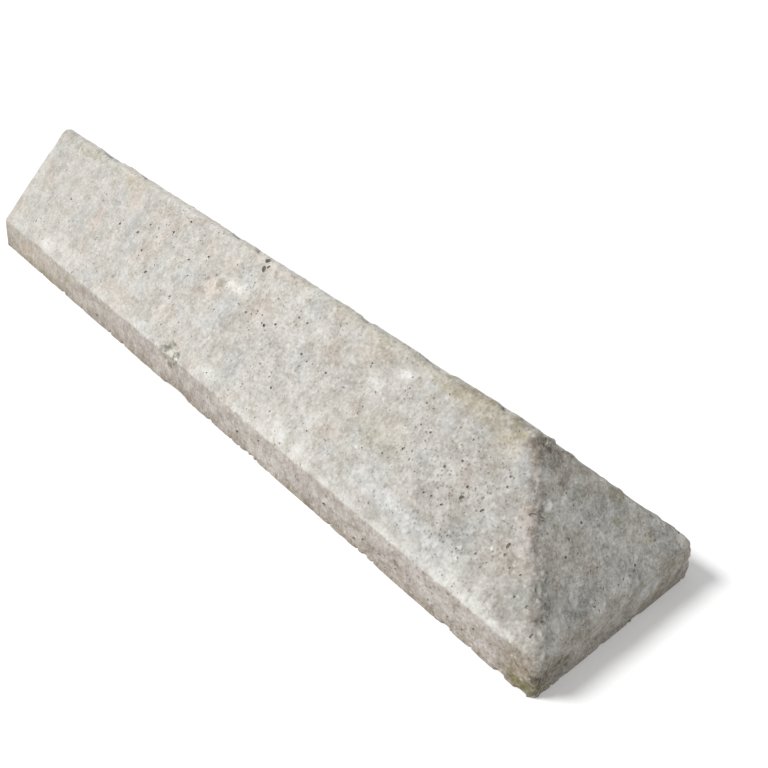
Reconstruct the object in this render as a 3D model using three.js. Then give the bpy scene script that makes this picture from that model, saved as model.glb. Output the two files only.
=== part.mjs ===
// A precast concrete kerb stone for the end of a run: a long ridge-topped bar
// with upright sides, two long slopes that meet in a rounded ridge, a hipped
// nose at +X and a square butt end at -X. Cast in one piece, without joints.
//
// Millimetres, +Z up. The origin is at the middle of the foot, on the ground.

import * as THREE from 'three';
import { ConvexGeometry } from 'three/addons/geometries/ConvexGeometry.js';

// Overall sizes
const LENGTH = 1000; // along X, from the butt end to the foot of the nose
const WIDTH = 225; // along Y, at the foot
const HEIGHT = 150; // from the foot to the top of the rounded ridge

// Section
const SIDE_HEIGHT = 37; // upright side, up to where the arris starts to round
const BATTER = 3; // how far each side leans in over its height, as a mould needs
const RIDGE_RADIUS = 10; // rounding of the ridge
const ARRIS_RADIUS = 5; // rounding between side and slope, and up the nose's corners

// Nose
const NOSE_RUN = 122; // in plan, from its foot back to the middle of the ridge's round end

const CURVE_STEPS = 32; // flats in a full circle of any rounding

const buttX = -LENGTH / 2;
const noseX = LENGTH / 2;
const ridgeZ = HEIGHT - RIDGE_RADIUS;
const arrisX = noseX - BATTER - ARRIS_RADIUS;
const arrisY = WIDTH / 2 - BATTER - ARRIS_RADIUS;

// Corners of a flat-sided circle round (x, y, z). Its axis is one of the frame's
// own, and its corners lie on the other two, so it is as wide as its radius says.
function circle(x, y, z, radius, axis) {
  return Array.from({ length: CURVE_STEPS }, (_, step) => {
    const angle = (2 * Math.PI * step) / CURVE_STEPS;
    const across = radius * Math.cos(angle);
    const up = radius * Math.sin(angle);
    return axis === 'x'
      ? new THREE.Vector3(x, y + across, z + up)
      : new THREE.Vector3(x + across, y + up, z);
  });
}

// Corners of a ball round (x, y, z), with a pole straight above its centre.
function ball(x, y, z, radius) {
  const sphere = new THREE.SphereGeometry(radius, CURVE_STEPS, CURVE_STEPS / 2);
  sphere.rotateX(Math.PI / 2).translate(x, y, z);
  const corners = sphere.getAttribute('position');
  return Array.from({ length: corners.count }, (_, i) => new THREE.Vector3().fromBufferAttribute(corners, i));
}

// The stone bulges everywhere, so it is the skin stretched over its roundings:
// the ridge, the two long arrises, the nose's corners, and the flat foot.
function stoneGeometry() {
  const roundings = [
    ...circle(buttX, 0, ridgeZ, RIDGE_RADIUS, 'x'),
    ...ball(noseX - NOSE_RUN, 0, ridgeZ, RIDGE_RADIUS),
  ];
  for (const side of [-1, 1]) {
    roundings.push(
      ...circle(buttX, side * arrisY, SIDE_HEIGHT, ARRIS_RADIUS, 'x'),
      ...ball(arrisX, side * arrisY, SIDE_HEIGHT, ARRIS_RADIUS),
      ...circle(noseX - ARRIS_RADIUS, side * (WIDTH / 2 - ARRIS_RADIUS), 0, ARRIS_RADIUS, 'z'),
      new THREE.Vector3(buttX, (side * WIDTH) / 2, 0),
    );
  }
  return new ConvexGeometry(roundings);
}

const concrete = new THREE.MeshStandardMaterial({ color: 0xc4c0ba, roughness: 0.93, metalness: 0 });

const stone = new THREE.Mesh(stoneGeometry(), concrete);
stone.name = 'kerb_stone';

const kerb = new THREE.Group();
kerb.add(stone);

export default kerb;
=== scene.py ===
import math
from collections import namedtuple
from functools import partial

import bmesh
import bpy
from mathutils import Matrix, Vector


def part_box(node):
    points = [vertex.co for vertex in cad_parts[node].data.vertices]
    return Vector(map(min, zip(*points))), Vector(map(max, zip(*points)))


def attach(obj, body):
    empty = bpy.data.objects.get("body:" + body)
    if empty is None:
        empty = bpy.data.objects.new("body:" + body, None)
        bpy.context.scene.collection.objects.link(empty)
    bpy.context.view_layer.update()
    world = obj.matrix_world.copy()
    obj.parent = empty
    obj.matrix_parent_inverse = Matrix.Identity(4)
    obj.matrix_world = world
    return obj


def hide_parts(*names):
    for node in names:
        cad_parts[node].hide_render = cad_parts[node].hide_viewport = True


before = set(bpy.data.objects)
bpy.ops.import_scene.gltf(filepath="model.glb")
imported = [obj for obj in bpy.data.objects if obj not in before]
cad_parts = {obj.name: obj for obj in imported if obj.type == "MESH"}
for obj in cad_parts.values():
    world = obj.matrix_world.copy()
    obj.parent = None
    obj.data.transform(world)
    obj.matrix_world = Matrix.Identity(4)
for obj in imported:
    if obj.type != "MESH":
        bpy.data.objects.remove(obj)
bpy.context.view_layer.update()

# ---------------------------------------------------------------------------
# The casting: one piece of aggregate concrete, poured in a steel mould, so its faces are flat,
# its sides and nose lean in a little to leave the mould, and every edge is rounded.
# It lies loose on its foot, and its plain butt end meets the next kerb stone.

MM = 0.001
lowest_corner, highest_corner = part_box("kerb_stone")
skin_depth = 0.2 * MM  # how far the cast faces lie inside the stone's full size
foot_z = lowest_corner.z + 0.1 * MM
butt_x = lowest_corner.x + skin_depth
nose_x = highest_corner.x - skin_depth
foot_y = highest_corner.y - skin_depth
batter = 3 * MM
arris_x = nose_x - batter
arris_y = foot_y - batter
arris_z = 39 * MM  # where the side and the slope would meet in a sharp edge
ridge_z = 155 * MM  # where the two slopes would meet in a sharp edge
ridge_end_x = nose_x - 122.5 * MM
proud_corner = 4.5 * MM  # the mould had given way a little at the far corner of the nose


def deselect_all():
    bpy.ops.object.select_all(action="DESELECT")


def work_on(piece):
    """Makes the piece the only selected object, and the active one."""
    deselect_all()
    piece.select_set(True)
    bpy.context.view_layer.objects.active = piece


def choose_faces(test):
    """Selects the faces of the mesh in edit mode whose outward normal passes the test."""
    bpy.ops.mesh.select_all(action="DESELECT")
    mesh = bmesh.from_edit_mesh(bpy.context.object.data)
    for face in mesh.faces:
        if test(face.normal):
            face.select_set(True)
    bmesh.update_edit_mesh(bpy.context.object.data)


def choose_edges(test):
    """Selects the edges of the mesh in edit mode whose lower end and upper end pass the test."""
    bpy.ops.mesh.select_all(action="DESELECT")
    mesh = bmesh.from_edit_mesh(bpy.context.object.data)
    for edge in mesh.edges:
        lower, upper = sorted((corner.co for corner in edge.verts), key=lambda place: place.z)
        if test(lower, upper):
            edge.select_set(True)
    bmesh.update_edit_mesh(bpy.context.object.data)


def choose_points(test):
    """Selects the corner points of the mesh in edit mode whose place passes the test."""
    bpy.ops.mesh.select_all(action="DESELECT")
    mesh = bmesh.from_edit_mesh(bpy.context.object.data)
    for point in mesh.verts:
        if test(point.co):
            point.select_set(True)
    bmesh.update_edit_mesh(bpy.context.object.data)


def near(value, target):
    return abs(value - target) < 6 * MM


def finish_with(piece, kind, **settings):
    """Adds a modifier to the piece and applies it."""
    work_on(piece)
    modifier = piece.modifiers.new(kind.lower(), kind)
    for name, value in settings.items():
        setattr(modifier, name, value)
    bpy.ops.object.modifier_apply(modifier=modifier.name)


def is_butt(lower, upper):
    return near(lower.x, butt_x) and near(upper.x, butt_x)


def is_ridge(lower, upper):
    return near(lower.z, ridge_z) and not is_butt(lower, upper)


def is_hip(lower, upper):
    return near(lower.z, arris_z) and near(upper.z, ridge_z) and not is_butt(lower, upper)


def is_arris(lower, upper):
    return near(lower.z, arris_z) and near(upper.z, arris_z) and not is_butt(lower, upper)


def is_corner(lower, upper):
    return near(lower.z, foot_z) and near(upper.z, arris_z) and not is_butt(lower, upper)


def is_near_corner(lower, upper):
    return is_corner(lower, upper) and lower.y < 0


def is_foot(lower, upper):
    return near(upper.z, foot_z) and not is_butt(lower, upper)


# The block between the mould's upright walls, drawn in towards its top at the sides and the nose.
deselect_all()
bpy.ops.mesh.primitive_cube_add(
    size=1,
    location=((butt_x + nose_x) / 2, 0, (foot_z + arris_z) / 2),
    scale=(nose_x - butt_x, 2 * foot_y, arris_z - foot_z),
)
kerb = bpy.context.object
kerb.name = "kerb_stone_cast"
bpy.ops.object.transform_apply(location=True, rotation=True, scale=True)
bpy.ops.object.mode_set(mode="EDIT")
choose_faces(lambda normal: normal.z > 0.9)
bpy.ops.transform.resize(
    value=((arris_x - butt_x) / (nose_x - butt_x), arris_y / foot_y, 1),
    center_override=(butt_x, 0, 0),
)

# The top drawn up. Its new walls and upright edges come in any order, and the edges run either way,
# which would move the finest bubbles from run to run. So they are sorted by how far they lie from a
# place beyond the butt, and the edges are made to run up at the butt and down at the nose.
bpy.ops.mesh.extrude_region_move(TRANSFORM_OT_translate={"value": (0, 0, ridge_z - arris_z)})
beyond_butt = (-2.0, -0.01, 0.0)
bpy.context.scene.cursor.location = beyond_butt
choose_faces(lambda normal: near(normal.z, 0))
bpy.ops.mesh.sort_elements(type="CURSOR_DISTANCE", elements={"FACE"})
choose_edges(lambda lower, upper: near(lower.z, arris_z) and near(upper.z, ridge_z))
bpy.ops.mesh.sort_elements(type="CURSOR_DISTANCE", elements={"EDGE"})
bpy.context.scene.cursor.location = (0, 0, 0)
bpy.ops.object.mode_set(mode="OBJECT")
for edge in kerb.data.edges[-4:]:
    at_nose = kerb.data.vertices[edge.vertices[0]].co.x > 0
    edge.vertices = sorted(edge.vertices, reverse=at_nose)
bpy.ops.object.mode_set(mode="EDIT")

# The top pinched into the ridge, and the ridge's end drawn back for the hipped nose.
choose_faces(lambda normal: normal.z > 0.9)
bpy.ops.transform.resize(value=(1, 0, 1), center_override=(0, 0, 0))
choose_points(lambda place: near(place.z, ridge_z) and near(place.x, arris_x))
bpy.ops.transform.translate(value=(ridge_end_x - arris_x, 0, 0))
choose_points(lambda place: near(place.z, arris_z) and near(place.x, arris_x) and place.y > 0)
bpy.ops.transform.translate(value=(0, 0, proud_corner))
bpy.ops.mesh.select_all(action="SELECT")
bpy.ops.mesh.remove_doubles(threshold=MM / 10)
bpy.ops.mesh.normals_make_consistent(inside=False)


def sharp_lines(name, *tests):
    """A copy of the sharp edges as bare lines, before they are rounded off."""
    choose_edges(lambda lower, upper: any(test(lower, upper) for test in tests))
    bpy.ops.mesh.duplicate()
    bpy.ops.mesh.delete(type="ONLY_FACE")
    bpy.ops.mesh.separate(type="SELECTED")
    lines = next(piece for piece in bpy.context.selected_objects if piece is not kerb)
    lines.name = name
    lines.select_set(False)
    return lines


crest_lines = sharp_lines("crest_lines", is_ridge, is_hip, is_corner)
arris_lines = sharp_lines("arris_lines", is_arris)
foot_lines = sharp_lines("foot_lines", is_foot)

# Rounding: how far from its sharp line each edge starts to turn.
widest_turn = 10.5 * MM
for is_it, turn in (
    (is_ridge, widest_turn),
    (is_hip, 6 * MM),
    (is_arris, 2.6 * MM),
    (is_corner, 4.5 * MM),
    (is_near_corner, 1.8 * MM),
    (is_foot, 0.5 * MM),
):
    choose_edges(is_it)
    bpy.ops.transform.edge_bevelweight(value=turn / widest_turn)
bpy.ops.object.mode_set(mode="OBJECT")
finish_with(kerb, "BEVEL", limit_method="WEIGHT", width=widest_turn, segments=5, use_clamp_overlap=False)

# ---------------------------------------------------------------------------
# The knocks: places along the ridge and the hips where the concrete was bruised or crumbled away
# in handling. They are shallow and rough, and have weathered to the colour of the rest.

Face = namedtuple("Face", "corner along up")  # up runs uphill on the face, square to along
Edge = namedtuple("Edge", "start end out loss")  # loss is how far the rounding has taken the edge in


def out_of(face):
    return face.along.cross(face.up)


def between_faces(*faces):
    return sum((out_of(face) for face in faces), Vector()).normalized()


slope_tilt = math.atan2(ridge_z - arris_z, arris_y)
nose_tilt = math.atan2(ridge_z - arris_z, arris_x - ridge_end_x)
lean = math.atan2(batter, arris_z)
near_slope = Face(
    Vector((0, -arris_y, arris_z)),
    Vector((1, 0, 0)),
    Vector((0, math.cos(slope_tilt), math.sin(slope_tilt))),
)
far_slope = Face(
    Vector((0, arris_y, arris_z)),
    Vector((-1, 0, 0)),
    Vector((0, -math.cos(slope_tilt), math.sin(slope_tilt))),
)
nose = Face(
    Vector((arris_x, 0, arris_z)),
    Vector((0, 1, 0)),
    Vector((-math.cos(nose_tilt), 0, math.sin(nose_tilt))),
)
near_side = Face(Vector((0, -foot_y, 0)), Vector((1, 0, 0)), Vector((0, math.sin(lean), math.cos(lean))))
nose_end = Face(Vector((nose_x, 0, 0)), Vector((0, 1, 0)), Vector((-math.sin(lean), 0, math.cos(lean))))
butt_end = Face(Vector((butt_x, 0, 0)), Vector((0, -1, 0)), Vector((0, 0, 1)))

ridge_end = Vector((ridge_end_x, 0, ridge_z))
near_hip_start = Vector((arris_x, -arris_y, arris_z))
far_hip_start = Vector((arris_x, arris_y, arris_z + proud_corner))
ridge_loss = 4.5 * MM
hip_loss = 1.2 * MM
ridge = Edge(Vector((0, 0, ridge_z)), ridge_end, Vector((0, 0, 1)), ridge_loss)
near_hip = Edge(near_hip_start, ridge_end, between_faces(near_slope, nose), hip_loss)
far_hip = Edge(far_hip_start, ridge_end, between_faces(far_slope, nose), hip_loss)


def add_lump(middle, along, out, half_length, half_width, half_height, detail=3):
    """A ball drawn out or squeezed along one way, across it, and out from the face."""
    across = out.cross(along).normalized()
    turned = Matrix((along, across, out)).transposed()
    bpy.ops.mesh.primitive_ico_sphere_add(
        subdivisions=detail,
        radius=1,
        location=middle,
        rotation=turned.to_euler(),
        scale=(half_length, half_width, half_height),
    )
    bpy.ops.object.transform_apply(location=True, rotation=True, scale=True)
    return bpy.context.object


def joined(pieces, name):
    """The pieces made into one mesh."""
    deselect_all()
    for piece in pieces:
        piece.select_set(True)
    bpy.context.view_layer.objects.active = pieces[0]
    bpy.ops.object.join()
    pieces[0].name = name
    return pieces[0]


def lumpy_field(name, size, contrast=1.0):
    """Solid random lumps of about that size, for pushing a surface in and out."""
    field = bpy.data.textures.new(name, "CLOUDS")
    field.noise_scale = size
    field.contrast = contrast
    return field


def roughen(piece, field, height, level=0.5, zone=""):
    """Pushes the surface in and out by the field. What lies above the level comes out."""
    finish_with(
        piece,
        "DISPLACE",
        texture=field,
        texture_coords="LOCAL",
        strength=height,
        mid_level=level,
        vertex_group=zone,
    )


def merge(piece, other, how):
    """Adds the other one to the piece or takes its shape out. New walls get its material, if any."""
    walls = "TRANSFER" if other.data.materials else "INDEX"
    finish_with(piece, "BOOLEAN", operation=how, solver="MANIFOLD", material_mode=walls, object=other)
    bpy.data.objects.remove(other)


# Distance along the edge, length and depth in millimetres, and how far each runs back along the stone
# for every millimetre that it runs down the far slope, where it fades out.
knocks = (
    (ridge, -428, 22, 0.8, 2.0), (ridge, -376, 18, 2.4, 1.6), (ridge, -354, 14, 2.4, 1.5),
    (ridge, -284, 12, 1.2, 1.3), (ridge, -238, 20, 0.8, 1.3), (ridge, -74, 14, 1.4, 1.1),
    (ridge, -33, 16, 1.0, 1.1), (ridge, 44, 18, 0.7, 1.0), (ridge, 155, 12, 2.6, 0.83),
    (ridge, 252, 44, 2.0, 0.7), (ridge, 262, 18, 2.5, 0.68), (ridge, 300, 24, 0.7, 0.6),
    (ridge, 342, 14, 1.2, 0.55),
    (far_hip, 184, 16, 0.6, 0.5), (far_hip, 166, 15, 5.6, 0.48), (far_hip, 132, 68, 2.4, 0.48),
    (far_hip, 134, 26, 1.8, 0.48), (far_hip, 107, 26, 1.8, 0.45), (far_hip, 70, 40, 1.6, 0.45),
    (far_hip, 40, 10, 1.0, 0.45),
)
run_down = 36 * MM
crumbled_edges = lumpy_field("crumbled_edges", 7 * MM)
crumbled_depth = 2.6 * MM
for edge, distance, length, depth, slant in knocks:
    out = out_of(far_slope)
    surface = edge.start + (edge.end - edge.start).normalized() * distance * MM - edge.out * edge.loss
    half_height = 2 * depth * MM
    middle = surface + out * (half_height - depth * MM)
    down = (far_slope.along * slant - far_slope.up).normalized()
    knock = add_lump(middle, down, out, run_down, length / 2 * MM, half_height)
    roughen(knock, crumbled_edges, crumbled_depth)
    merge(kerb, knock, "DIFFERENCE")

# ---------------------------------------------------------------------------
# The skin: cement paste over sand and small stones. It was flat against the mould, and rain has
# taken it down since, a little on the faces and more along the edges. The foot and the butt end
# are struck flat.


def worn_zone(name, lines, full, none):
    """A zone of the kerb that is full within one distance of the lines, and fades out at the other."""
    zone = kerb.vertex_groups.new(name=name)
    zone.add(range(len(kerb.data.vertices)), 1, "REPLACE")
    finish_with(
        kerb,
        "VERTEX_WEIGHT_PROXIMITY",
        vertex_group=name,
        target=lines,
        proximity_mode="GEOMETRY",
        proximity_geometry={"EDGE"},
        min_dist=none,
        max_dist=full,
    )


finish_with(kerb, "REMESH", mode="VOXEL", voxel_size=2.2 * MM)
worn_zone("knocked_about", crest_lines, 30 * MM, 44 * MM)
finish_with(kerb, "SMOOTH", factor=0.5, iterations=4, vertex_group="knocked_about")
worn_zone("worn_crest", crest_lines, 5 * MM, 14 * MM)
worn_zone("worn_arris", arris_lines, 2 * MM, 8 * MM)
worn_zone("worn_foot", foot_lines, 2 * MM, 9 * MM)
for lines in (crest_lines, arris_lines, foot_lines):
    bpy.data.objects.remove(lines)

# Size and height of the lumps in millimetres, their contrast, the level above which they come out,
# and the zone that has them.
for name, size, height, contrast, level, zone in (
    ("slow_waves", 55, 1.0, 1.0, 0.5, ""),
    ("crest_wear", 13, 4.0, 1.3, 0.5, "worn_crest"),
    ("crest_grit", 5, 1.4, 1.0, 0.5, "worn_crest"),
    ("arris_wear", 24, 2.4, 1.3, 0.55, "worn_arris"),
    ("foot_wear", 17, 3.0, 1.3, 0.5, "worn_foot"),
    ("foot_grit", 6, 1.8, 1.0, 0.5, "worn_foot"),
    ("face_grit", 6, 0.45, 1.0, 0.5, ""),
):
    roughen(kerb, lumpy_field(name, size * MM, contrast), height * MM, level, zone)

struck_flat = 1.6 * MM  # what lies this near to the foot or the butt end is struck flat with it
rim = 4 * MM
flared = 1 * MM  # the foot's edge, where the paste had crept out under the mould
for point in kerb.data.vertices:
    place = point.co
    if place.z < foot_z + struck_flat:
        place.z = foot_z
        if abs(place.y) > foot_y - rim:
            place.y += math.copysign(flared, place.y)
        if place.x > nose_x - rim:
            place.x += flared
    if place.x < butt_x + struck_flat:
        place.x = butt_x
    place.x = min(place.x, highest_corner.x - skin_depth)
    place.y = max(min(place.y, highest_corner.y - skin_depth), lowest_corner.y + skin_depth)
    place.z = min(place.z, highest_corner.z - skin_depth)

skin_triangles = 100000
finish_with(kerb, "DECIMATE", ratio=skin_triangles / (2 * len(kerb.data.polygons)))

# ---------------------------------------------------------------------------
# The gravel that shows: three of the larger stones lie at the surface. One still has a skin of paste
# over it, one stands bare, and round the third the paste has broken out and left a gap.


def add_node(tree, kind, inputs, **settings):
    """A new node, its inputs set to values or linked to other nodes' outputs."""
    node = tree.nodes.new(kind)
    for name, value in settings.items():
        setattr(node, name, value)
    for name, value in inputs.items():
        if isinstance(value, bpy.types.NodeSocket):
            tree.links.new(value, node.inputs[name])
        else:
            node.inputs[name].default_value = value
    return node


def colour(red, green, blue):
    """A colour given as a screen shows it, from 0 to 255, as the light it stands for."""
    def light(level):
        share = level / 255
        return share / 12.92 if share <= 0.04045 else ((share + 0.055) / 1.055) ** 2.4
    return (light(red), light(green), light(blue), 1)


class Finish:
    """A matt material whose colour is built up in layers, each placed by where it lies on the stone."""

    def __init__(self, name, base):
        self.colour = base
        self.material = bpy.data.materials.new(name)
        self.material.use_nodes = True
        self.tree = self.material.node_tree
        self.shader = self.tree.nodes["Principled BSDF"]
        self.shader.inputs["Roughness"].default_value = 0.93
        self.shader.inputs["Specular IOR Level"].default_value = 0.25
        self.place = add_node(self.tree, "ShaderNodeTexCoord", {}).outputs["Object"]

    def noise(self, size, detail, rough=0.5, twist=0.0, seed=0, output="Fac"):
        """Soft random lumps of about that size, from 0 to 1, mostly near a half."""
        return add_node(
            self.tree,
            "ShaderNodeTexNoise",
            {
                "Vector": self.place,
                "W": float(seed),
                "Scale": 1 / size,
                "Detail": detail,
                "Roughness": rough,
                "Distortion": twist,
            },
            noise_dimensions="4D",
        ).outputs[output]

    def between(self, value, low, high, most=1.0):
        """0 at low and before it, the most at high and past it, and a soft change between the two."""
        return add_node(
            self.tree,
            "ShaderNodeMapRange",
            {"Value": value, "From Min": low, "From Max": high, "To Max": most},
            interpolation_type="SMOOTHSTEP",
        ).outputs[0]

    def combined(self, how, first, second):
        return add_node(self.tree, "ShaderNodeMath", {0: first, 1: second}, operation=how).outputs[0]

    def times(self, first, second):
        return self.combined("MULTIPLY", first, second)

    def plus(self, first, second):
        return self.combined("ADD", first, second)

    def mixed(self, base, other, share, how="MIX"):
        """The base colour, changed towards the other one by that share."""
        inputs = {0: share, 6: base, 7: other}
        return add_node(self.tree, "ShaderNodeMix", inputs, data_type="RGBA", blend_type=how).outputs[2]

    def coat(self, tint, share, how="MIX"):
        """One more layer: the colour so far, changed towards the tint by that share."""
        self.colour = self.mixed(self.colour, tint, share, how)
        self.tree.links.new(self.colour, self.shader.inputs["Base Color"])

    def fading_ball(self, place):
        """1 in the middle of a ball, fading to 0 where it ends."""
        node = add_node(self.tree, "ShaderNodeTexGradient", {0: place}, gradient_type="SPHERICAL")
        return node.outputs["Fac"]

    def ragged(self, size, far, seed):
        """The place, moved this way and that by random lumps of about that size."""
        lumps = self.noise(size, detail=3, rough=0.6, seed=seed, output="Color")
        middling = (0.5, 0.5, 0.5)
        move = add_node(self.tree, "ShaderNodeVectorMath", {0: lumps, 1: middling}, operation="SUBTRACT")
        return add_node(
            self.tree,
            "ShaderNodeVectorMath",
            {0: move.outputs[0], 1: (far, far, far), 2: self.place},
            operation="MULTIPLY_ADD",
        ).outputs[0]

    def grains(self, spacing, radius, share, seed, core):
        """Small uneven grains at that share of random places, 1 in a grain's core and 0 off the grain."""
        cells = add_node(
            self.tree,
            "ShaderNodeTexVoronoi",
            {"Vector": self.ragged(radius, 1.3 * radius, seed), "W": float(seed), "Scale": 1 / spacing},
            voronoi_dimensions="4D",
        )
        on_grain = self.between(cells.outputs["Distance"], radius / spacing, core * radius / spacing)
        kind = add_node(self.tree, "ShaderNodeSeparateColor", {0: cells.outputs["Color"]}).outputs[0]
        return self.times(on_grain, self.combined("LESS_THAN", kind, share))

    def relief(self, height, depth):
        """Bumps that are too fine to be modelled, up to that depth."""
        bump = add_node(self.tree, "ShaderNodeBump", {"Distance": depth, "Height": height})
        self.tree.links.new(bump.outputs[0], self.shader.inputs["Normal"])


def gravel(name, dark, light):
    """Worn stone, mottled between two colours."""
    finish = Finish(name, dark)
    mottle = finish.between(finish.noise(4 * MM, detail=4, rough=0.7), 0.35, 0.65)
    finish.coat(light, mottle)
    finish.relief(mottle, 0.3 * MM)
    return finish.material


concrete = Finish("weathered_concrete", colour(205, 202, 196))
kerb.data.materials.clear()
kerb.data.materials.append(concrete.material)
broken = gravel("broken_concrete", colour(150, 142, 131), colour(192, 185, 175))
pale_gravel = gravel("pale_gravel", colour(190, 188, 182), colour(232, 230, 224))
brown_gravel = gravel("brown_gravel", colour(150, 138, 124), colour(204, 190, 172))


def place_on(face, along, up):
    """The place on a face that many millimetres along and up from the face's corner."""
    return face.corner + (face.along * along + face.up * up) * MM


def turned_along(face, turn):
    """The direction along a face, turned by that many degrees on it."""
    return Matrix.Rotation(math.radians(turn), 3, out_of(face)) @ face.along


def on_skin(place):
    """The point of the kerb's worn skin that is nearest to the place."""
    return kerb.closest_point_on_mesh(place)[1]


# Face, along and up it, length, width and turn of what shows, how wide the gap round it is and how far
# it is shifted up, how far the stone stands out, and what shows of it. A gap of less than nothing is
# under the stone, and a stone that stands out by less than nothing is sunk.
stones = (
    (near_slope, -56, 95, 31, 29, 12, -4.0, 0.0, 1.2, concrete.material),
    (far_slope, -210, 88, 17, 12, 30, -1.5, 0.0, 0.6, pale_gravel),
    (far_slope, 268, 52, 12, 9, 100, 2.6, 0.4, -0.8, brown_gravel),
)
uneven_stone = lumpy_field("uneven_stones", 9 * MM)
buried = 1.45  # how much bigger a stone is, where it is widest, than what shows of it
thickness = 5 * MM
hollow_depth = 3.2 * MM
hollow_lift = 0.6 * MM  # how far the hollow's middle lies outside the skin
for face, along, up, length, width, turn, gap, gap_up, standing_out, stone_finish in stones:
    lengthwise = turned_along(face, turn)
    out = out_of(face)
    middle = on_skin(place_on(face, along, up))
    half_length, half_width = length / 2 * MM, width / 2 * MM
    hollow = add_lump(
        middle + face.up * gap_up * MM + out * hollow_lift,
        lengthwise,
        out,
        half_length + gap * MM,
        half_width + gap * MM,
        hollow_depth,
    )
    roughen(hollow, uneven_stone, 2.4 * MM)
    hollow.data.materials.append(broken)
    merge(kerb, hollow, "DIFFERENCE")
    stone = add_lump(
        middle + out * (standing_out * MM - thickness),
        lengthwise,
        out,
        half_length * buried,
        half_width * buried,
        thickness,
        detail=4,
    )
    roughen(stone, uneven_stone, 2.0 * MM)
    stone.data.materials.append(stone_finish)
    merge(kerb, stone, "UNION")

# The lower arris of the near slope and the near hip, each taken as a face halfway between its two.
arris_out = between_faces(near_slope, near_side)
lower_arris = Face(near_slope.corner, near_slope.along, arris_out.cross(near_slope.along))
hip_line = (near_hip.end - near_hip.start).normalized()
hip_corner = Face(near_hip.start, hip_line, near_hip.out.cross(hip_line))

# Face, along and up it, length, width and turn of shallow places where only the paste has broken out
# or cracked, and their depth.
dents = (
    (lower_arris, -70, 5, 13, 14, 20, 1.6), (lower_arris, -64, -6, 18, 10, 0, 1.6),
    (lower_arris, -48, -4, 14, 11, 60, 1.6), (lower_arris, -47, 8, 12, 10, 120, 1.4),
    (lower_arris, -60, 15, 18, 9, 170, 1.3), (nose, 3.3, 143, 8, 6, 60, 1.8),
    (nose, 1.8, 151, 6, 5, 0, 1.6), (nose, -33, 105, 18, 14, 20, 0.7),
    (hip_corner, 121.5, 2.5, 12, 2.9, 86, 1.9), (hip_corner, 60, -3, 14, 7, 10, 1.2),
    (hip_corner, 92, -2, 20, 8, 0, 1.0), (hip_corner, 150, 2, 14, 8, 0, 1.0),
    (hip_corner, 28, 1, 16, 7, 0, 1.0), (near_side, -42, 0, 40, 8, 0, 2.8),
)
dent_height = 3 * MM
dent_reach = 0.65  # half of what shows, and some more, since a ball's edge cuts nothing
for face, along, up, length, width, turn, depth in dents:
    out = out_of(face)
    middle = on_skin(place_on(face, along, up)) + out * (dent_height - depth * MM)
    half_length, half_width = length * dent_reach * MM, width * dent_reach * MM
    dent = add_lump(middle, turned_along(face, turn), out, half_length, half_width, dent_height)
    roughen(dent, uneven_stone, 1.4 * MM)
    merge(kerb, dent, "DIFFERENCE")

# ---------------------------------------------------------------------------
# The air holes: bubbles that lay against the mould while the concrete set. Their thin skins have
# broken, so they show as small deep pits, thickest in the middle of the slopes and near the nose.

# The holes' walls are a little darker than the faces: painted shade inside the holes.
shaded_hole_wall = gravel("air_hole_wall_painted_shade", colour(160, 155, 147), colour(192, 188, 181))

# Along the face and up it, length and width in millimetres, and the turn of the length in degrees.
near_slope_holes = (
    (357, 71, 6.5, 5, 20), (380, 73, 5, 3, 60), (418.6, 62.4, 6, 4, 80), (421, 54.5, 3.5, 3, 0),
    (325, 84.5, 3.4, 3, 0), (337, 98, 3.2, 3, 0), (442, 49, 3, 2.5, 0), (322, 54.5, 4, 2.5, 30),
    (330.5, 56, 3.2, 2.6, 0), (344, 55.6, 4.2, 2.5, 20), (385, 111, 3.4, 2.6, 40),
    (388, 102, 2.8, 2.4, 0), (355.5, 82, 3.2, 3, 90), (292.5, 102, 2.8, 2.4, 0),
    (271, 122.6, 2.8, 2.4, 0), (281, 121.5, 2.4, 2.2, 0), (246, 125, 2.4, 2.2, 0),
    (192, 124.5, 2.6, 2.2, 0), (261, 60, 2.8, 2.4, 0), (277, 75, 2.8, 2.4, 0),
    (178.6, 88.6, 4.4, 2.2, 10), (279, 103, 2.6, 2.2, 0), (334.5, 119, 2.6, 2.2, 0),
    (431, 48, 2.8, 2.4, 0), (397.5, 40, 2.8, 2.4, 0), (366, 37, 2.6, 2.2, 0),
    (448.6, 31.7, 3.4, 2.8, 0), (462, 31.7, 3.4, 2.8, 0), (478, 16, 5, 2.8, 80), (-10, 155, 8, 6.5, 60),
    (-7, 143, 9, 6, 130), (-3, 148, 5, 3.4, 60), (41, 92.4, 5, 4.2, 0), (36, 93.2, 4, 2, 170),
    (54.5, 100.6, 3.4, 3, 0), (6.8, 92.6, 3.8, 3.2, 0), (-9, 95.4, 6, 2, 0), (77.7, 120.8, 3, 2.8, 0),
    (91.4, 121, 2.6, 2.4, 0), (149.8, 90, 3.4, 3, 0), (108.4, 91.3, 3.2, 2.8, 0),
    (98.9, 44.2, 3.2, 2.8, 0), (-94, 119.7, 4, 3.4, 0), (-120.5, 103.8, 5, 2.6, 20),
    (-155, 142.4, 4, 3, 0), (-114, 55.6, 4.2, 2.2, 30), (-230.7, 95, 5, 3.6, 50),
    (-270.5, 90.4, 4, 3.4, 0), (-175.5, 61.3, 5.4, 3.4, 40), (-204.5, 79.5, 4, 3.2, 0),
    (-391, 79, 4, 3, 0), (-217.5, 112, 3.2, 3, 0), (-171.6, 120.4, 4.2, 3.8, 0),
)
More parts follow.
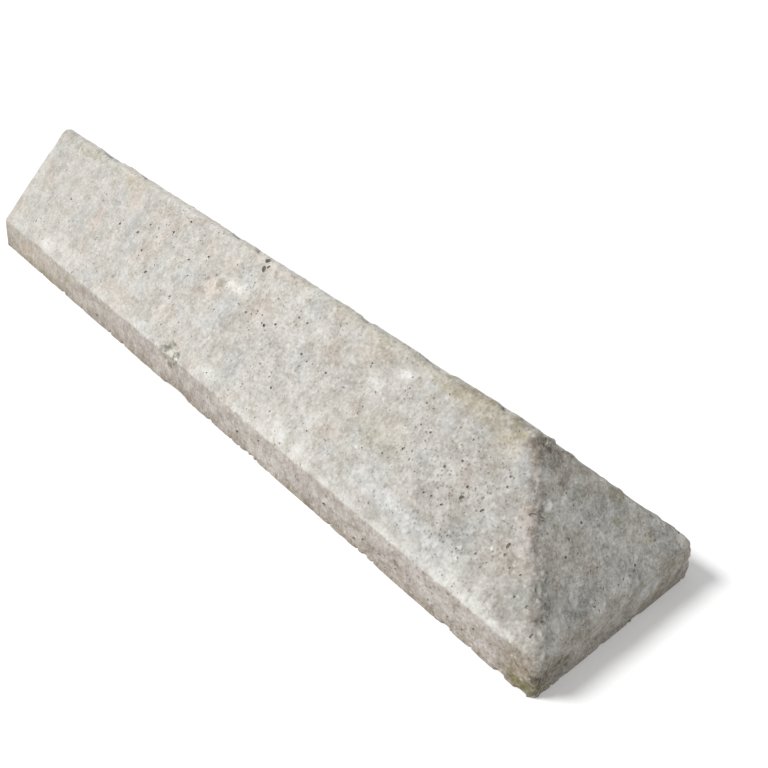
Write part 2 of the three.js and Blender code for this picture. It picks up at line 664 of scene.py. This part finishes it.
nose_holes = (
    (-2.4, 75, 3.2, 3, 0), (-22.8, 69.6, 5, 2.6, 110), (-34.6, 58.4, 3.2, 3, 0), (31, 18, 3.2, 3, 0),
    (4, 13, 2.4, 2, 0), (12, 14.5, 2.2, 2, 0), (20, 13.5, 2.4, 2, 0), (27, 15, 2.2, 2, 0),
    (98.4, 16.5, 3.6, 2.6, 0), (-9, 36, 2.6, 2.2, 0), (-39.8, 98.1, 11, 3, 132),
)
near_side_holes = (
    (119, 28, 4.5, 3.4, 0), (81, 17, 6, 4, 20), (230, 19.5, 8, 4, 0), (287.5, 17, 5, 4, 0),
    (276, 10, 6, 4, 0), (312, 17, 8, 3, 10), (336, 16, 9, 3, 0), (402, 13, 6, 3, 0),
    (430, 23, 3.2, 3, 0), (419, 12.5, 3, 2.6, 0), (-229, 11, 9, 4, 0),
)
far_slope_holes = (
    (-388, 96, 5, 4, 30), (-310, 61, 4, 3, 0), (-262, 118, 3.4, 3, 0), (-140, 84, 5.5, 4, 70),
    (-96, 40, 3.6, 3, 0), (-20, 107, 4, 3.4, 0), (58, 72, 6, 4, 20), (133, 127, 3.6, 3, 0),
    (190, 55, 4.4, 3, 50), (284, 99, 5, 4, 0), (371, 64, 3.8, 3, 0), (430, 121, 4, 3, 0),
)
sunk = 0.15  # how far a bubble's middle lies under the skin, for each millimetre of its half width
deep = 1.1  # how deep it goes from there
bubbles = []
for face, holes in (
    (near_slope, near_slope_holes),
    (nose, nose_holes),
    (near_side, near_side_holes),
    (far_slope, far_slope_holes),
):
    out = out_of(face)
    for along, up, length, width, turn in holes:
        half_length, half_width = length / 2 * MM, width / 2 * MM
        middle = on_skin(place_on(face, along, up)) - out * sunk * half_width
        lengthwise = turned_along(face, turn)
        depth = half_width * deep
        bubbles.append(add_lump(middle, lengthwise, out, half_length, half_width, depth, detail=2))
big_holes = joined(bubbles, "big_air_holes")
big_holes.data.materials.append(shaded_hole_wall)
roughen(big_holes, lumpy_field("uneven_bubbles", 3 * MM), 0.8 * MM)
merge(kerb, big_holes, "DIFFERENCE")


def scatter_pores(piece, wall, crowds, closest, most, smallest, largest, patch_size, seed):
    """Cuts small bubbles at random places in the piece's skin, but not in its foot. More are in crowds."""
    tree = bpy.data.node_groups.new("scattered_pores", "GeometryNodeTree")
    add = partial(add_node, tree)
    tree.interface.new_socket("Stone", in_out="INPUT", socket_type="NodeSocketGeometry")
    tree.interface.new_socket("Stone", in_out="OUTPUT", socket_type="NodeSocketGeometry")
    stone = tree.nodes.new("NodeGroupInput").outputs[0]
    normal = add("GeometryNodeInputNormal", {})
    facing = add("ShaderNodeSeparateXYZ", {0: normal.outputs[0]})
    facing_down = -0.5
    not_foot = add(
        "FunctionNodeCompare",
        {0: facing.outputs["Z"], 1: facing_down},
        operation="GREATER_THAN",
    )

    # How thick the pores are from place to place.
    patches = add("ShaderNodeTexNoise", {"Scale": 1 / patch_size, "Detail": 2.0}).outputs[0]
    share = add("ShaderNodeMapRange", {"Value": patches, "From Min": 0.4, "From Max": 0.8}).outputs[0]
    here = add("GeometryNodeInputPosition", {}).outputs[0]
    for middle, radius, thickness in crowds:
        away = add("ShaderNodeVectorMath", {0: here, 1: middle}, operation="DISTANCE").outputs["Value"]
        crowd = add(
            "ShaderNodeMapRange",
            {"Value": away, "From Min": radius, "From Max": radius / 3, "To Max": thickness},
        )
        share = add("ShaderNodeMath", {0: share, 1: crowd.outputs[0]}, operation="ADD").outputs[0]
    spots = add(
        "GeometryNodeDistributePointsOnFaces",
        {
            "Mesh": stone,
            "Selection": not_foot.outputs[0],
            "Distance Min": closest,
            "Density Max": most,
            "Density Factor": share,
            "Seed": seed,
        },
        distribute_method="POISSON",
    )

    # The size, the squeeze and the turn of each pore. The higher the rarity, the fewer are large.
    rarity = 2.2
    chance = add("FunctionNodeRandomValue", {2: 0.0, 3: 1.0, "Seed": seed}, data_type="FLOAT")
    rarer = add("ShaderNodeMath", {0: chance.outputs[1], 1: rarity}, operation="POWER").outputs[0]
    size = add("ShaderNodeMapRange", {"Value": rarer, "To Min": smallest, "To Max": largest}).outputs[0]
    squeeze = add(
        "FunctionNodeRandomValue",
        {0: (0.8, 0.6, 0.4), 1: (1.7, 1.0, 0.65), "Seed": seed + 1},
        data_type="FLOAT_VECTOR",
    )
    scale = add("ShaderNodeVectorMath", {0: squeeze.outputs[0], "Scale": size}, operation="SCALE")
    turn = add(
        "FunctionNodeRandomValue",
        {0: (0.0, 0.0, 0.0), 1: (0.0, 0.0, 2 * math.pi), "Seed": seed + 2},
        data_type="FLOAT_VECTOR",
    )
    facing_out = add(
        "FunctionNodeRotateRotation",
        {"Rotation": spots.outputs["Rotation"], "Rotate By": turn.outputs[0]},
        rotation_space="LOCAL",
    )

    # One bubble: a small coarse ball, pushed out of shape.
    ball = add("GeometryNodeMeshIcoSphere", {"Radius": 1.1, "Subdivisions": 1}).outputs["Mesh"]
    lumps = add("ShaderNodeTexNoise", {"Scale": 0.9, "Detail": 0.0}).outputs["Color"]
    push = add("ShaderNodeVectorMath", {0: lumps, 1: (0.5, 0.5, 0.5)}, operation="SUBTRACT").outputs[0]
    push = add("ShaderNodeVectorMath", {0: push, "Scale": 1.6}, operation="SCALE").outputs[0]
    bubble = add("GeometryNodeSetPosition", {"Geometry": ball, "Offset": push}).outputs[0]
    placed = add(
        "GeometryNodeInstanceOnPoints",
        {
            "Points": spots.outputs["Points"],
            "Instance": bubble,
            "Rotation": facing_out.outputs[0],
            "Scale": scale.outputs[0],
        },
    )
    real = add("GeometryNodeRealizeInstances", {0: placed.outputs[0]}).outputs[0]
    walled = add("GeometryNodeSetMaterial", {0: real, "Material": wall}).outputs[0]
    cut = add(
        "GeometryNodeMeshBoolean",
        {"Mesh 1": stone, "Mesh 2": walled},
        operation="DIFFERENCE",
        solver="MANIFOLD",
    )
    result = tree.nodes.new("NodeGroupOutput")
    tree.links.new(cut.outputs["Mesh"], result.inputs[0])
    finish_with(piece, "NODES", node_group=tree)
    bpy.data.node_groups.remove(tree)


# The middle of each crowd, how far it reaches, and how much thicker the pores are in it.
thickest_crowd = place_on(near_slope, 366, 84)
pore_crowds = (
    (thickest_crowd, 66 * MM, 2.4),
    (place_on(near_slope, 290, 100), 60 * MM, 0.6),
    (place_on(near_slope, 50, 98), 60 * MM, 0.6),
    (place_on(near_slope, -165, 112), 70 * MM, 0.6),
)
scatter_pores(
    kerb,
    shaded_hole_wall,
    pore_crowds,
    closest=2.6 * MM,
    most=14000,
    smallest=0.5 * MM,
    largest=1.5 * MM,
    patch_size=60 * MM,
    seed=7,
)

# ---------------------------------------------------------------------------
# The concrete's colour: pale grey cement weathered unevenly, with sand grains, a white bloom above
# the arrises, earth splashed on the upright sides, and algae and lichen along the ridge and at the
# nose's foot. Some of it is painted light and shade: a highlight along the arris and light along the
# crest and the top of the far slope, shade along the near hip, in small hollows and in pores too fine
# to be modelled.

cream = colour(228, 217, 194)
# A white for lime bloom, also used for painted highlights and painted light.
bloom_and_highlight_white = colour(238, 237, 232)
pink_beige = colour(208, 192, 181)
brown = colour(146, 132, 114)
olive = colour(172, 163, 132)
lichen_yellow = colour(196, 182, 124)
taupe = colour(174, 166, 156)
cool_grey = colour(190, 192, 192)
moss_green = colour(128, 122, 84)
# A dark for dirt, also used for painted shade in pores and cracks.
dirt_and_shade_dark = colour(88, 81, 72)
earth = colour(160, 148, 134)
side_warm = colour(178, 167, 160)
side_olive = colour(180, 171, 158)

place = add_node(concrete.tree, "ShaderNodeSeparateXYZ", {0: concrete.place}).outputs
x, z = place["X"], place["Z"]
normal = add_node(concrete.tree, "ShaderNodeNewGeometry", {}).outputs["Normal"]
facing_x, facing_y, facing_z = add_node(concrete.tree, "ShaderNodeSeparateXYZ", {0: normal}).outputs[:3]

# Cement and slow weathering, on every face.
weathering = concrete.noise(75 * MM, detail=2, rough=0.6, seed=2)
concrete.coat(taupe, concrete.times(concrete.between(weathering, 0.52, 0.75), 0.25))
warmth = concrete.noise(34 * MM, detail=1, rough=0.6, seed=3)
concrete.coat(pink_beige, concrete.between(warmth, 0.52, 0.72, most=0.28))
concrete.coat(cool_grey, concrete.between(warmth, 0.48, 0.3, most=0.4))
# On the slopes and sides, darker towards the nose.
toward_nose = concrete.between(x, 130 * MM, 420 * MM, most=0.3)
concrete.coat(colour(140, 138, 135), concrete.times(concrete.between(facing_x, 0.5, 0.2), toward_nose))

# The bloom of lime that rain has left above the arrises.
upright = concrete.between(facing_z, 0.5, 0.25)
low_on_slope = concrete.between(z, 66 * MM, 42 * MM)
bloom_patches = concrete.between(concrete.noise(85 * MM, detail=3, rough=0.6, seed=12), 0.42, 0.62)
side_of_slope = concrete.between(concrete.combined("ABSOLUTE", facing_y, 0.0), 0.4, 0.6)
bloom = concrete.times(concrete.times(low_on_slope, bloom_patches), side_of_slope)
bloom_share = concrete.plus(concrete.between(x, -400 * MM, 450 * MM, most=0.35), 0.25)
concrete.coat(bloom_and_highlight_white, concrete.times(bloom, bloom_share))
# Along the arris itself a white line: lime bloom and a painted highlight on the rounded edge.
arris_bloom_and_highlight = concrete.times(concrete.between(z, 46 * MM, 41 * MM), side_of_slope)
arris_share = concrete.between(x, -100 * MM, 450 * MM, most=0.35)
concrete.coat(bloom_and_highlight_white, concrete.times(arris_bloom_and_highlight, arris_share))

# The upright sides: warmer, gritty, and splashed with earth towards the foot.
along_side = concrete.between(x, -460 * MM, -120 * MM)
side_colour = concrete.mixed(side_olive, side_warm, along_side)
concrete.coat(side_colour, concrete.times(upright, 0.6))
side_blotches = concrete.between(concrete.noise(12 * MM, detail=4, rough=0.9, seed=15), 0.48, 0.72)
concrete.coat(brown, concrete.times(concrete.times(side_blotches, upright), 0.35))
splashes = concrete.noise(22 * MM, detail=4, rough=0.7, seed=17)
splash_height = concrete.plus(z, concrete.times(splashes, 24 * MM))
splashed = concrete.between(splash_height, 32 * MM, 12 * MM)
concrete.coat(earth, concrete.times(concrete.times(splashed, upright), 0.6))
nose_upright = concrete.times(upright, concrete.between(facing_x, 0.5, 0.8))
concrete.coat(colour(202, 200, 190), concrete.times(nose_upright, 0.5))

# Painted light on the top of the far slope, which faces away from the lamp, and the algae that hold along
# the ridge.
patchy = concrete.between(concrete.noise(6 * MM, detail=3, rough=0.9, seed=33), 0.35, 0.65)
patchy = concrete.plus(concrete.times(patchy, 0.8), 0.55)
uneven = concrete.noise(40 * MM, detail=3, rough=0.7, seed=23)
uneven_height = concrete.plus(z, concrete.times(uneven, 60 * MM))
high_up = concrete.between(uneven_height, 136 * MM, 168 * MM)
far_top_painted_light = concrete.times(concrete.between(facing_y, 0.1, 0.5), high_up)
concrete.coat(colour(255, 254, 250), concrete.times(far_top_painted_light, 0.7))
uneven = concrete.noise(30 * MM, detail=4, rough=0.6, seed=20)
ridge_height = concrete.plus(z, concrete.times(uneven, 16 * MM))
along_ridge = concrete.between(ridge_height, 150 * MM, 163 * MM)
algae_share = concrete.plus(concrete.between(x, -200 * MM, 300 * MM, most=0.25), 0.15)
concrete.coat(olive, concrete.times(concrete.times(along_ridge, patchy), algae_share))
# Painted light along the crest towards the butt, where the rounded ridge turns away from the lamp.
crest_painted_light = concrete.between(z, 144 * MM, 149 * MM)
toward_butt = concrete.between(x, 300 * MM, -150 * MM, most=0.25)
concrete.coat(bloom_and_highlight_white, concrete.times(crest_painted_light, toward_butt))

# Face, along and up it, length, width and turn of the stain, its colour and how strong it is. Most are
# stains; those marked are painted shade or painted highlight.
stains_and_painted_light = (
    (near_slope, 330, 146, 120, 30, -2, colour(172, 164, 145), 0.6),
    (near_slope, 270, 150, 90, 16, 0, taupe, 0.4),
    (near_slope, 374, 146, 14, 12, 0, lichen_yellow, 0.35),
    (near_slope, 366, 132, 34, 24, 0, cream, 0.35),
    (near_slope, 285, 146, 70, 14, 0, olive, 0.4),
    (near_slope, 205, 138, 20, 14, 0, brown, 0.35),
    (near_slope, 235, 134, 22, 17, 0, bloom_and_highlight_white, 0.65),
    (near_slope, 205, 112, 26, 18, 0, bloom_and_highlight_white, 0.4),
    (near_slope, 229, 49, 8, 8, 0, bloom_and_highlight_white, 0.6),
    (near_slope, 120, 146, 40, 16, 0, pink_beige, 0.36),
    (near_slope, 130, 140, 26, 12, 10, brown, 0.3),
    (near_slope, 15, 150, 120, 12, 0, pink_beige, 0.31),
    (near_slope, -57, 97, 56, 36, 0, pink_beige, 0.3),
    (near_slope, -57, 94, 36, 32, 12, colour(219, 211, 200), 0.75),
    (near_slope, -26, 110, 50, 19, 0, colour(240, 236, 228), 0.75),
    # Painted shade on the side of the stone's low dome away from the lamp.
    (near_slope, -53, 104, 12, 17, 30, colour(158, 150, 140), 0.6),
    (near_slope, -77, 97, 8, 8, 0, colour(144, 134, 128), 0.6),
    (near_slope, -66, 107, 8, 8, 0, colour(158, 150, 142), 0.6),
    (near_slope, -72, 84, 18, 13, 0, colour(176, 164, 156), 0.5),
    (near_slope, -60, 128, 50, 20, 0, pink_beige, 0.31),
    (near_slope, -377, 12, 60, 26, 0, bloom_and_highlight_white, 0.6),
    (near_slope, -330, 22, 70, 20, 0, bloom_and_highlight_white, 0.35),
    (near_slope, 216, 78, 24, 14, 20, pink_beige, 0.36),
    (near_slope, 264, 80, 12, 10, 0, pink_beige, 0.31),
    (near_slope, 320, 41, 44, 20, 0, taupe, 0.35),
    (near_slope, 366, 88, 80, 50, 0, colour(178, 175, 168), 0.15),
    (near_slope, 150, 104, 100, 56, 0, taupe, 0.3),
    (near_slope, 432, 52, 44, 40, 0, taupe, 0.4),
    (near_slope, 249, 71, 80, 50, 0, colour(188, 183, 168), 0.6),
    (near_slope, 194, 84, 60, 50, 0, taupe, 0.25),
    (near_slope, 72, 52, 50, 36, 0, taupe, 0.15),
    (near_slope, 367, 118, 44, 34, 0, taupe, 0.45),
    (near_slope, -144, 146, 50, 20, 0, taupe, 0.3),
    (near_slope, -226, 26, 46, 26, 0, taupe, 0.3),
    (near_slope, -462, 110, 40, 60, 0, taupe, 0.3),
    (near_slope, 260, 151, 34, 18, 0, bloom_and_highlight_white, 0.35),
    (near_slope, 188, 140, 60, 34, 0, colour(180, 169, 150), 0.4),
    # Lime bloom and a painted highlight along the arris towards the nose.
    (near_slope, 428, 6, 90, 16, 0, bloom_and_highlight_white, 0.35),
    (near_slope, 0, 12, 60, 20, 0, bloom_and_highlight_white, 0.4),
    (near_slope, 300, 26, 130, 26, 0, colour(222, 226, 228), 0.4),
    (near_slope, 362, 22, 90, 26, 0, colour(226, 229, 230), 0.15),
    (near_slope, -316, 78, 34, 50, 0, pink_beige, 0.41),
    (near_slope, -267, 126, 38, 40, 0, pink_beige, 0.36),
    (near_slope, -223, 36, 14, 12, 0, brown, 0.4),
    (near_slope, -150, 22, 60, 20, 0, brown, 0.2),
    (near_slope, -482, 150, 50, 16, 0, brown, 0.35),
    (near_slope, -292, 145, 70, 26, 0, colour(194, 179, 156), 0.4),
    (near_slope, 108, 12, 50, 26, 0, taupe, 0.3),
    (near_slope, -400, 146, 140, 16, 0, olive, 0.3),
    (near_slope, 470, 30, 26, 22, 0, taupe, 0.5),
    (near_slope, 408, 51, 7, 5, 0, bloom_and_highlight_white, 0.9),
    (near_slope, 383, 35, 6, 5, 0, bloom_and_highlight_white, 0.9),
    (near_slope, 384, 27, 5, 5, 0, bloom_and_highlight_white, 0.8),
    (near_slope, 306, 30, 5, 5, 0, bloom_and_highlight_white, 0.8),
    (near_slope, 352, 42, 10, 8, 0, bloom_and_highlight_white, 0.5),
    (near_slope, 428, 62, 14, 12, 0, bloom_and_highlight_white, 0.35),
    # A darker strip along the near hip: painted shade where the rounded hip turns from the lamp, and some
    # dirt.
    (hip_corner, 95, 0.5, 240, 14, 0, colour(134, 128, 120), 0.6),
    (hip_corner, 178, -2, 50, 18, 0, brown, 0.4),
    (hip_corner, 48, -9, 110, 18, 0, colour(122, 119, 113), 0.35),
    (hip_corner, 116, 10, 44, 26, 0, colour(178, 165, 156), 0.6),
    (hip_corner, 142, -3, 30, 14, 0, colour(196, 190, 182), 0.4),
    (hip_corner, 112, 4, 34, 18, 0, colour(150, 142, 134), 0.35),
    (near_slope, 418, 99.5, 20, 14, -20, colour(218, 205, 195), 0.6),
    (lower_arris, -58, 3, 44, 34, 0, colour(180, 180, 171), 0.5),
    # Dark marks in the chip's hollows under the arris: painted shade.
    (lower_arris, -69, 6, 11, 14, 30, colour(116, 116, 106), 0.65),
    (lower_arris, -66, -7, 14, 9, 0, colour(140, 124, 106), 0.7),
    (lower_arris, -54, -9, 16, 8, 0, colour(126, 112, 96), 0.7),
    (lower_arris, -46, -3, 10, 12, 30, colour(116, 114, 102), 0.65),
    (lower_arris, -47, 8, 10, 9, 0, colour(130, 129, 118), 0.6),
    (lower_arris, -59, 15, 16, 8, 0, colour(138, 138, 128), 0.6),
    (lower_arris, -57, 4, 12, 11, 30, colour(232, 230, 222), 0.7),
    (lower_arris, -49, 3, 5, 4, 0, colour(244, 242, 236), 0.9),
    (nose, 8, 142, 60, 44, 0, colour(140, 127, 116), 0.6),
    (nose, 22, 122, 80, 40, 20, brown, 0.2),
    (nose, -6, 112, 26, 12, 60, brown, 0.35),
    (nose, -38, 102, 18, 15, 0, colour(112, 107, 98), 0.6),
    # The dark of the crack: painted shade, and dirt.
    (nose, -39.8, 98.1, 13, 4, -48, dirt_and_shade_dark, 0.6),
    # Dark in the two small dents at the apex: painted shade, and dirt.
    (nose, 3.3, 143, 9, 7, 60, colour(112, 98, 90), 0.6),
    (nose, 1.8, 151, 7, 6, 0, colour(112, 98, 90), 0.5),
    (nose, -10.6, 100, 7, 7, 0, bloom_and_highlight_white, 0.6),
    (nose, 11, 57, 5, 18, 15, bloom_and_highlight_white, 0.6),
    (nose, -2, 39, 10, 6, 0, bloom_and_highlight_white, 0.55),
    (nose, -31, 28, 8, 6, 0, bloom_and_highlight_white, 0.4),
    (nose, 35, 59, 20, 14, 30, olive, 0.4),
    (nose, 57, 29, 22, 12, 0, olive, 0.4),
    (nose, 49, 79, 30, 14, -30, olive, 0.45),
    (nose, -57, 37, 18, 14, 0, taupe, 0.5),
    (nose, -38, 18, 66, 34, 0, colour(128, 122, 116), 0.35),
    (nose, 12, 96, 44, 22, 30, colour(128, 126, 112), 0.12),
    (nose, 81, 37, 5, 5, 0, bloom_and_highlight_white, 0.7),
    (nose, 78, 14, 50, 14, 0, cool_grey, 0.2),
    (nose, -100, 2, 10, 8, 0, bloom_and_highlight_white, 0.7),
    (near_side, -447, 18, 30, 16, 0, pink_beige, 0.5),
    (near_side, -400, 20, 170, 34, 0, colour(206, 195, 182), 0.5),
    (near_side, -312, 24, 30, 14, 0, olive, 0.4),
    (near_side, 131, 14, 80, 34, 0, colour(216, 211, 206), 0.6),
    (near_side, -60, 30, 44, 12, 0, taupe, 0.3),
    (near_side, -80, 22, 60, 24, 0, colour(206, 198, 190), 0.4),
    (near_side, 225, 26, 80, 20, 0, colour(208, 202, 196), 0.4),
    (near_side, 275, 20, 160, 5, 0, brown, 0.35),
    (hip_corner, 6, 6, 50, 34, 0, colour(160, 154, 146), 0.65),
    (near_side, 478, 22, 60, 48, 0, colour(150, 138, 120), 0.8),
    (nose_end, -88, 19, 54, 38, 0, colour(110, 106, 95), 0.6),
    (near_side, 486, 9, 40, 20, 0, moss_green, 0.8),
    (nose_end, -102, 7, 22, 16, 0, moss_green, 0.6),
    (near_side, 432, 12, 80, 30, 0, colour(206, 200, 194), 0.5),
    (near_side, -496, 4, 10, 10, 0, dirt_and_shade_dark, 0.4),
    (nose_end, -92, 22, 50, 30, 0, brown, 0.35),
    (nose_end, 4, 22, 12, 10, 0, brown, 0.25),
    (nose_end, 2, 22, 60, 34, 0, colour(206, 206, 204), 0.35),
    (nose_end, 46, 27, 34, 22, 0, colour(222, 222, 220), 0.8),
    (nose_end, 56, 16, 20, 16, 0, olive, 0.3),
    (far_slope, -330, 20, 150, 26, 0, bloom_and_highlight_white, 0.3),
    (far_slope, -60, 90, 60, 40, 20, pink_beige, 0.45),
    (far_slope, 180, 120, 90, 30, 0, olive, 0.35),
    (far_slope, 340, 60, 60, 44, 0, taupe, 0.35),
    (far_slope, -440, 120, 50, 40, 0, olive, 0.4),
    (butt_end, 30, 60, 70, 60, 20, taupe, 0.3),
    (butt_end, -50, 20, 60, 20, 0, earth, 0.5),
)
ragged_place = concrete.ragged(15 * MM, 22 * MM, seed=30)
stain_depth = 28 * MM
spread = 0.6  # where a stain has faded out altogether, as a share of its length and width
for face, along, up, length, width, turn, tint, strength in stains_and_painted_light:
    lengthwise = turned_along(face, turn)
    turned = Matrix((lengthwise, out_of(face).cross(lengthwise), out_of(face))).transposed()
    spot = add_node(
        concrete.tree,
        "ShaderNodeMapping",
        {
            "Vector": ragged_place,
            "Location": place_on(face, along, up),
            "Rotation": turned.to_euler(),
            "Scale": (spread * length * MM, spread * width * MM, spread * stain_depth),
        },
        vector_type="TEXTURE",
    ).outputs[0]
    share = concrete.between(concrete.fading_ball(spot), 0.0, 0.75, most=strength)
    concrete.coat(tint, concrete.times(share, patchy))

# Cement mottled over the sand, light grains in it, dark dots of painted shade for pores too fine
# to be modelled, and soft dark blots. It shows through all the stains.
mottle = concrete.between(concrete.noise(18 * MM, detail=3, rough=0.95), 0.28, 0.72)
contrast = concrete.plus(concrete.between(x, -450 * MM, 100 * MM, most=0.2), 0.8)
mottled = concrete.mixed(colour(134, 132, 128), colour(222, 223, 224), mottle)
concrete.coat(mottled, contrast, "SOFT_LIGHT")
grain = concrete.noise(4 * MM, detail=1, rough=0.7, twist=0.5, seed=9)
sand = concrete.mixed(colour(112, 110, 106), colour(182, 182, 181), concrete.between(grain, 0.28, 0.72))
concrete.coat(sand, 0.42, "SOFT_LIGHT")
light_grains = concrete.grains(5 * MM, 2.6 * MM, 0.45, seed=1, core=0.3)
concrete.coat(bloom_and_highlight_white, concrete.times(light_grains, 0.32))
pitted = concrete.between(concrete.noise(45 * MM, detail=3, rough=0.7, seed=6), 0.25, 0.6, most=0.43)
reach = 100 * MM
crowd_place = add_node(
    concrete.tree,
    "ShaderNodeMapping",
    {"Vector": concrete.place, "Location": thickest_crowd, "Scale": (reach, reach, reach)},
    vector_type="TEXTURE",
).outputs[0]
pitted = concrete.plus(pitted, concrete.times(concrete.fading_ball(crowd_place), 0.35))
painted_pore_shade = concrete.grains(3.4 * MM, 1.9 * MM, 0.6, seed=2, core=0.1)
concrete.coat(dirt_and_shade_dark, concrete.times(painted_pore_shade, pitted))
blots = concrete.grains(6 * MM, 3.3 * MM, 0.45, seed=21, core=0.1)
concrete.coat(colour(136, 132, 124), concrete.times(blots, 0.24))

# Grit on the upright sides, most of it towards the nose.
gritty = concrete.plus(concrete.between(x, -150 * MM, 200 * MM, most=0.4), 0.15)
gritty = concrete.times(gritty, concrete.plus(upright, concrete.times(nose_upright, -0.6)))
side_grit = concrete.grains(5 * MM, 3 * MM, 0.5, seed=31, core=0.0)
concrete.coat(colour(92, 78, 66), concrete.times(side_grit, gritty))
side_sand = concrete.grains(4.6 * MM, 2.4 * MM, 0.4, seed=32, core=0.3)
sandy = concrete.times(gritty, 0.6)
concrete.coat(colour(214, 204, 190), concrete.times(side_sand, sandy))

# The nose: wetter and rougher than the slopes, with streaks of lime and more contrast from place
# to place.
on_nose = concrete.between(facing_x, 0.5, 0.65, most=0.65)
threads = concrete.plus(concrete.noise(9 * MM, detail=1.5, twist=1.5, seed=5), -0.5)
threads = concrete.between(concrete.combined("ABSOLUTE", threads, 0.0), 0.03, 0.0)
concrete.coat(bloom_and_highlight_white, concrete.times(concrete.times(threads, on_nose), 0.5))
nose_mottle = concrete.between(concrete.noise(12 * MM, detail=3, rough=1.0, seed=40), 0.3, 0.7)
nose_mottle = concrete.mixed(colour(74, 74, 71), colour(216, 216, 215), nose_mottle)
concrete.coat(nose_mottle, on_nose, "SOFT_LIGHT")

# The foot, dirty from the ground, and the fine grain of it all.
concrete.coat(dirt_and_shade_dark, concrete.times(concrete.between(facing_z, -0.5, -0.9), 0.35))
concrete.relief(concrete.plus(grain, concrete.times(weathering, 1.5)), 0.7 * MM)

work_on(kerb)
bpy.ops.object.shade_smooth_by_angle(angle=math.radians(40))
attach(kerb, "root")
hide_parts("kerb_stone")

# ---------------------------------------------------------------------------
# The floor: one pale matt sheet under the stone, which takes its shadow. The camera sees it a
# little brighter than the stone does.

floor_size = 14
deselect_all()
bpy.ops.mesh.primitive_plane_add(size=floor_size, location=(0, 0, 0))
floor = bpy.context.object
floor.name = "pale_floor"
sheet = Finish("pale_floor", colour(229, 229, 229))
seen = add_node(sheet.tree, "ShaderNodeLightPath", {}).outputs["Is Camera Ray"]
sheet.coat(colour(255, 255, 255), seen)
sheet.shader.inputs["Emission Color"].default_value = (1, 1, 1, 1)
sheet.tree.links.new(sheet.times(seen, 0.12), sheet.shader.inputs["Emission Strength"])
floor.data.materials.append(sheet.material)

# ---------------------------------------------------------------------------
# The light: one broad soft lamp, high on the left, and the even light of a white room. The room
# looks white to the camera, and lights the stone with less than half of that.

lamp_direction = Vector((-0.50, -0.514, 0.696))
lamp_distance = 3
lamp_brightness = 0.84 * math.pi
lamp_softness = 20
bpy.ops.object.light_add(
    type="SUN",
    location=lamp_direction * lamp_distance,
    rotation=lamp_direction.to_track_quat("Z", "Y").to_euler(),
)
lamp = bpy.context.object
lamp.name = "soft_lamp"
lamp.data.energy = lamp_brightness
lamp.data.angle = math.radians(lamp_softness)

room_brightness = 0.41
room = bpy.data.worlds.new("white_room")
room.use_nodes = True
bpy.context.scene.world = room
room_light = room.node_tree.nodes["Background"]
room_light.inputs["Color"].default_value = (1, 1, 1, 1)
seen = add_node(room.node_tree, "ShaderNodeLightPath", {}).outputs["Is Camera Ray"]
brightness = {"Value": seen, "To Min": room_brightness, "To Max": 1.0}
strength = add_node(room.node_tree, "ShaderNodeMapRange", brightness)
room.node_tree.links.new(strength.outputs[0], room_light.inputs["Strength"])

# ---------------------------------------------------------------------------
# The camera: above the near corner of the nose, looking back along the stone. It has a normal lens,
# and is tipped a little to one side.

camera_place = (0.7504963, -0.5415252, 0.6336003)
camera_turn = (55.21207, -3.29578, 48.50569)
bpy.ops.object.camera_add(location=camera_place, rotation=[math.radians(turn) for turn in camera_turn])
camera = bpy.context.object
camera.name = "kerb_camera"
camera.data.sensor_width = 36
camera.data.lens = 43.726
bpy.context.scene.camera = camera
bpy.context.scene.view_settings.view_transform = "Standard"
